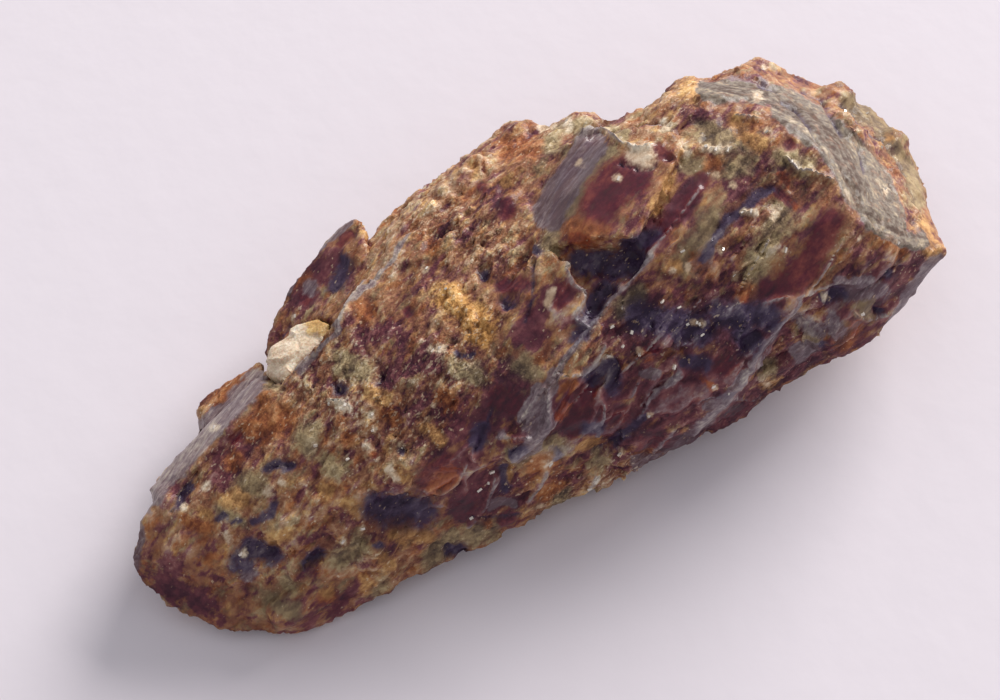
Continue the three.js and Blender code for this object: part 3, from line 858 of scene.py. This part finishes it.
NAVY_AND_SHADE_STEPS = [
    (0.30, (0.028, 0.014, 0.040)), (0.48, (0.056, 0.036, 0.078)), (0.62, (0.118, 0.088, 0.122)),
    (0.80, (0.34, 0.290, 0.310)),
]
GEM_STEPS = [
    (0.28, (0.030, 0.001, 0.010)), (0.46, (0.088, 0.005, 0.017)), (0.60, (0.195, 0.034, 0.030)),
    (0.82, (0.36, 0.170, 0.120)),
]
PAINTED_GLOW_STEPS = [
    (0.30, (0.100, 0.015, 0.008)), (0.48, (0.25, 0.046, 0.016)), (0.62, (0.42, 0.120, 0.036)),
    (0.82, (0.80, 0.430, 0.200)),
]
SUGAR_STEPS = [
    (0.30, (0.160, 0.065, 0.018)), (0.46, (0.46, 0.206, 0.058)), (0.60, (0.70, 0.370, 0.120)),
    (0.80, (0.92, 0.640, 0.320)),
]
CREAM_AND_GLINT_STEPS = [
    (0.26, (0.36, 0.220, 0.130)), (0.46, (0.62, 0.450, 0.300)), (0.60, (0.80, 0.660, 0.490)),
    (0.80, (0.92, 0.830, 0.700)),
]
END_STEPS = [
    (0.28, (0.085, 0.052, 0.038)), (0.42, (0.160, 0.120, 0.092)), (0.55, (0.225, 0.183, 0.146)),
    (0.66, (0.31, 0.240, 0.165)), (0.80, (0.52, 0.420, 0.310)),
]
SEAM_BROWN = (0.14, 0.085, 0.055)
CRUST_BUMP = 0.09


def painite_finish():
    """The crystal's finish, from soft wine-dark glass to sugary ochre crust, with painted sheen, glow,
    glints and shade.
    """
    pot = PaintPot("painite")
    turned = pot.node("ShaderNodeMapping", {}, {
        "Vector": pot.node("ShaderNodeTexCoord", out=3),
        "Rotation": (0, 0, -GROWTH_ANGLE), "Scale": (1 / MM, 1 / MM, 1 / MM),
    })

    def cloud(share, size, detail=3.0, rough=0.6, shift=(0, 0, 0)):
        """A cloud squeezed to a share along the growth axis, so that it draws out there."""
        seat = pot.node("ShaderNodeMapping", {}, {
            "Vector": turned, "Scale": (share, 1, 1), "Location": shift,
        })
        return pot.cloud(seat, size, detail, rough)

    broad, mottle = cloud(0.35, 0.80), cloud(0.45, 0.26)
    speck, fleck = cloud(0.70, 0.105, 2.0), cloud(0.60, 0.050, 1.0)
    bands = cloud(0.08, 0.24, shift=(3, 2, 6))
    lines = cloud(0.05, 0.085, 4.0)
    painted_glints = cloud(0.60, 0.085, 1.5, shift=(2, 5, 3))
    wine_cloud = cloud(0.40, 0.30, 4.0, 0.65, (7, 3, 1))
    rust_cloud = cloud(0.50, 0.25, 4.0, 0.65, (1, 8, 5))
    ochre_cloud = cloud(0.50, 0.23, 4.0, 0.65, (4, 1, 9))
    olive_cloud = cloud(0.40, 0.28, 4.0, 0.65, (9, 6, 2))
    end_seat = pot.node("ShaderNodeCombineXYZ", {}, {
        "X": pot.amount("edge_gap") + broad * 0.25, "Y": broad * 0.4,
    })
    end_lines = pot.cloud(end_seat, 0.26, 3.0)

    tone, grit, crumb, wine = (pot.amount(name) for name in ("tone", "grit", "crumb", "wine"))
    gem, crest, end_face = (pot.amount(name) for name in ("gem", "crest", "end_face"))
    level = 0.5 + (broad - 0.5) * 0.32 + (mottle - 0.5) * 0.45
    level = level + (bands - 0.5) * pot.amount("banded") * 0.8
    level = level + ((speck - 0.5) * 0.65 + (fleck - 0.5) * 0.25) * grit
    # Colour is paler on crests and high places of the relief and darker in its hollows: painted
    # highlight and painted shade.
    level = level + crumb * 0.11 + crest * 0.16 + tone * 0.08 - wine * 0.05 + pot.amount("relief") * 0.6
    ragged = (mottle - 0.5) * 1.7 + (speck - 0.5) * 1.9

    def patch(name):
        """A mark's amount with a ragged edge."""
        amount = pot.amount(name)
        return pot.between(amount + ragged * 0.42, 0.15, 0.90) * pot.between(amount, 0.0, 0.22)

    # The crust's colours, cloud over cloud, with each grain's tint and painted shade, and the stains
    # and glassy windows marked on it.
    colour = pot.shade(BROWN_STEPS, level)
    for spread, low, high, cover, steps in (
        (olive_cloud + crumb * 0.06, 0.47, 0.66, 0.75, OLIVE_STEPS),
        (ochre_cloud + crumb * 0.04, 0.50, 0.68, 0.85, OCHRE_STEPS),
        (rust_cloud - crumb * 0.04, 0.50, 0.68, 0.85, RUST_STEPS),
        (wine_cloud - crumb * 0.06 - tone * 0.03 + wine * 0.18, 0.49, 0.65, 0.90, WINE_STEPS),
    ):
        colour = pot.blended(pot.between(spread, low, high) * cover, colour, pot.shade(steps, level))
    for name, cover, steps in (
        ("olive", 0.85, OLIVE_STEPS), ("rust", 0.90, RUST_STEPS), ("gold", 0.95, OCHRE_STEPS),
        ("sugar", 0.90, SUGAR_STEPS), ("gem", 0.95, GEM_STEPS),
    ):
        colour = pot.blended(patch(name) * cover, colour, pot.shade(steps, level))

    # Painted sheen: a lilac-grey painted reflection on smooth faces and ridges, then the streaked end
    # face with its brown seams.
    sheen = (lines - 0.5) * 0.8 + (broad - 0.5) * 0.8 + (speck - 0.5) * 0.5
    painted_sheen_colour = pot.shade(PAINTED_SHEEN_STEPS, sheen + crest * 0.24 + tone * 0.14 + 0.42)
    lilac = pot.between(pot.amount("lilac") + ragged * 0.28, 0.25, 0.65)
    colour = pot.blended(lilac * 0.85, colour, painted_sheen_colour)
    # The crests are painted lilac-grey: a painted sheen and highlight along the ridges.
    colour = pot.blended(pot.between(crest + ragged * 0.12, 0.42, 0.82) * 0.85, colour, painted_sheen_colour)
    streaks = (end_lines - 0.5) * 1.5 + (mottle - 0.5) * 0.7 + (speck - 0.5) * 0.7
    end_colour = pot.shade(END_STEPS, streaks + 0.48)
    rusty = pot.between(rust_cloud, 0.50, 0.68)
    end_colour = pot.blended(rusty * 0.35, end_colour, pot.shade(BROWN_STEPS, level))
    colour = pot.blended(pot.between(end_face - ragged * 0.35, 0.25, 0.60), colour, end_colour)
    seam = pot.between(pot.amount("seam") + ragged * 0.4, 0.2, 0.8)
    colour = pot.blended(seam * 0.6, colour, SEAM_BROWN)

    # Navy patches (partly painted shade), painted glow, cream flecks and painted glints lie over all.
    for name, cover, steps in (
        ("navy", 0.95, NAVY_AND_SHADE_STEPS), ("fire", 0.90, PAINTED_GLOW_STEPS), ("cream", 0.85, CREAM_AND_GLINT_STEPS),
    ):
        colour = pot.blended(patch(name) * cover, colour, pot.shade(steps, level))
    # Painted glints: pale specks scattered over the crust, a painted highlight.
    painted_glints = painted_glints + (grit - 0.75) * 0.12 + tone * 0.03 + wine * 0.03
    painted_glints = pot.between(painted_glints, 0.62, 0.72) * (1 - pot.amount("sleek")) * (1 - gem)
    colour = pot.blended(painted_glints * 0.55, colour, pot.shade(CREAM_AND_GLINT_STEPS, level))

    sleekness = pot.amount("sleek") * (1 - end_face)
    glass = gem * 0.30 + pot.amount("navy") * 0.06 + pot.amount("fire") * 0.2
    roughness = (speck * 0.8 + mottle * 0.6 + fleck * 0.12) * grit
    roughness = roughness * (1 - sleekness * 0.9) * (1 - gem * 0.8) * (1 - end_face * 0.6)
    pot.feed(pot.shader, {
        "Base Color": colour,
        "Roughness": 0.75 - sleekness * 0.30 - glass * 0.60,
        "Coat Weight": pot.node("ShaderNodeClamp", {}, {"Value": glass + sleekness * 0.25 + 0.15}),
        "Normal": pot.node("ShaderNodeBump", {}, {
            "Strength": 1.0, "Distance": CRUST_BUMP * MM,
            "Height": roughness + lines * sleekness * 0.25 + end_lines * end_face * 0.6,
        }),
        "IOR": 1.5,
        "Specular IOR Level": 0.15,
        "Coat IOR": 1.5,
        "Coat Roughness": 0.16,
    })
    return pot.material


crystal.data.materials.clear()
crystal.data.materials.append(painite_finish())
only(crystal)
bpy.ops.object.shade_smooth_by_angle(angle=CRISP_ANGLE)
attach(crystal, "root")
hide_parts("painite_crystal")


# ---- Glints in the crust ----
# Small clear chips of crystal that stand half sunk in the crust and catch the light.
# They are slivers with their long side roughly along the growth axis.
GLINT_SIZE = 0.052
GLINT_LENGTH = (1.2, 2.4)
GLINT_WIDTH = (0.7, 1.2)
GLINT_ROLL = (0, 1.5)
GLINT_TILT = (-0.5, 0.5)
GLINT_TURN = (-0.6, 0.6)
GLINT_TINT = (0.72, 0.64, 0.56)
GLINT_PIXELS = [
    (373, 431), (371, 415), (432, 349), (440, 350), (651, 416), (688, 324), (696, 323), (662, 303),
    (680, 307), (633, 334), (623, 345), (488, 482), (494, 472), (480, 490), (425, 268), (620, 450),
    (706, 150), (716, 149), (727, 149), (330, 403), (345, 406), (472, 519), (215, 427), (241, 553),
    (363, 529), (343, 541), (447, 290), (567, 122), (545, 126), (618, 178), (757, 97), (768, 132),
    (743, 210), (752, 212), (786, 250), (612, 327), (608, 356), (640, 353), (713, 386), (882, 148),
    (885, 190), (722, 250), (735, 276), (682, 250), (295, 318), (549, 462), (593, 478), (400, 446),
    (315, 447), (700, 323), (674, 366), (588, 486), (700, 335), (845, 112), (866, 115), (763, 68),
    (897, 243), (860, 314), (884, 273), (728, 393), (540, 507), (792, 162), (350, 458),
]
dice = np.random.default_rng(7)
chips = []
for pixel in GLINT_PIXELS:
    spot = sighted[np.argmin(gap_to([pixel], view[sighted]))]
    roll, tilt, turn = dice.uniform(*GLINT_ROLL), dice.uniform(*GLINT_TILT), dice.uniform(*GLINT_TURN)
    bpy.ops.mesh.primitive_cube_add(
        size=GLINT_SIZE * MM, location=places[spot] * MM, rotation=(roll, tilt, GROWTH_ANGLE + turn),
        scale=(dice.uniform(*GLINT_LENGTH), dice.uniform(*GLINT_WIDTH), dice.uniform(*GLINT_WIDTH)),
    )
    chips.append(bpy.context.object)
bpy.ops.object.select_all(action="DESELECT")
for chip in chips:
    chip.select_set(True)
bpy.ops.object.join()
bpy.ops.object.transform_apply(location=True, rotation=True, scale=True)
glints = bpy.context.object
glints.name = "crust_glints"
glint_pot = PaintPot("clear chips")
glint_pot.feed(glint_pot.shader, {"Base Color": GLINT_TINT, "Roughness": 0.2, "Coat Weight": 1.0})
glints.data.materials.append(glint_pot.material)
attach(glints, "root")


# ---- Calcite grain ----
# A pale grain of calcite, cream with a honey stain at one end, caught in a cleft of the back edge.
# It has a few flat cleavage faces and lets a little light in.
CALCITE_SKIN_GRAIN = 0.035
CALCITE_SWELL = 0.07
CALCITE_TOPS = {"step": 0.10, "tilt": 0.22, "seam": 0.12}
CALCITE_FACET_SIZE = 0.62
CALCITE_WAVE_SIZE = 0.20
CALCITE_WAVE_HEIGHT = 0.025
CALCITE_BUMP = 0.05
LIGHT_DEPTH = 0.3
CALCITE_CRISP_ANGLE = math.radians(35)
HONEY_END = (-3.20, 3.55, 3.0)
HONEY_REACH = (0.25, 0.75)
CALCITE_STEPS = [
    (0.28, (0.52, 0.34, 0.21)), (0.45, (0.68, 0.51, 0.35)), (0.60, (0.79, 0.64, 0.47)),
    (0.78, (0.92, 0.83, 0.69)),
]
HONEY_STEPS = [
    (0.30, (0.38, 0.20, 0.06)), (0.50, (0.58, 0.34, 0.11)), (0.72, (0.78, 0.56, 0.26)),
]

grain = fine_copy("calcite_grain", "calcite_grain_fine", CALCITE_SKIN_GRAIN)
grain_skin = points_of(grain)
grain_grown = growth_places(grain_skin)
lump = CALCITE_SWELL + flat_tops(crumbs(grain_skin, CALCITE_FACET_SIZE, 81), **CALCITE_TOPS)
lump += drift(grain_grown * np.array([0.5, 1, 1]), CALCITE_WAVE_SIZE, 83, 3) * CALCITE_WAVE_HEIGHT
raised(grain, lump)
honey_gap = np.linalg.norm(grain_grown - np.array(HONEY_END), axis=1)
paint(grain, "honey", 1 - ramp(honey_gap, *HONEY_REACH))

grain_pot = PaintPot("calcite")
grain_seat = grain_pot.node("ShaderNodeTexCoord", out=3)
clouding = grain_pot.cloud(grain_seat, 0.30 * MM, 5.0)
graining = grain_pot.cloud(grain_seat, 0.06 * MM, 3.0)
paleness = clouding + (graining - 0.5) * 0.8
honeyed = grain_pot.between(grain_pot.amount("honey") + (clouding - 0.5) * 1.6, 0.35, 0.75)
calcite, honey = grain_pot.shade(CALCITE_STEPS, paleness), grain_pot.shade(HONEY_STEPS, paleness)
grain_pot.feed(grain_pot.shader, {
    "Base Color": grain_pot.blended(honeyed, calcite, honey),
    "Roughness": 0.45,
    "IOR": 1.5,
    "Subsurface Weight": 0.1,
    "Subsurface Scale": LIGHT_DEPTH * MM,
    "Normal": grain_pot.node("ShaderNodeBump", {}, {
        "Strength": 0.7, "Distance": CALCITE_BUMP * MM, "Height": clouding + graining * 0.6,
    }),
})
grain.data.materials.clear()
grain.data.materials.append(grain_pot.material)
only(grain)
bpy.ops.object.shade_smooth_by_angle(angle=CALCITE_CRISP_ANGLE)
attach(grain, "root")
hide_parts("calcite_grain")
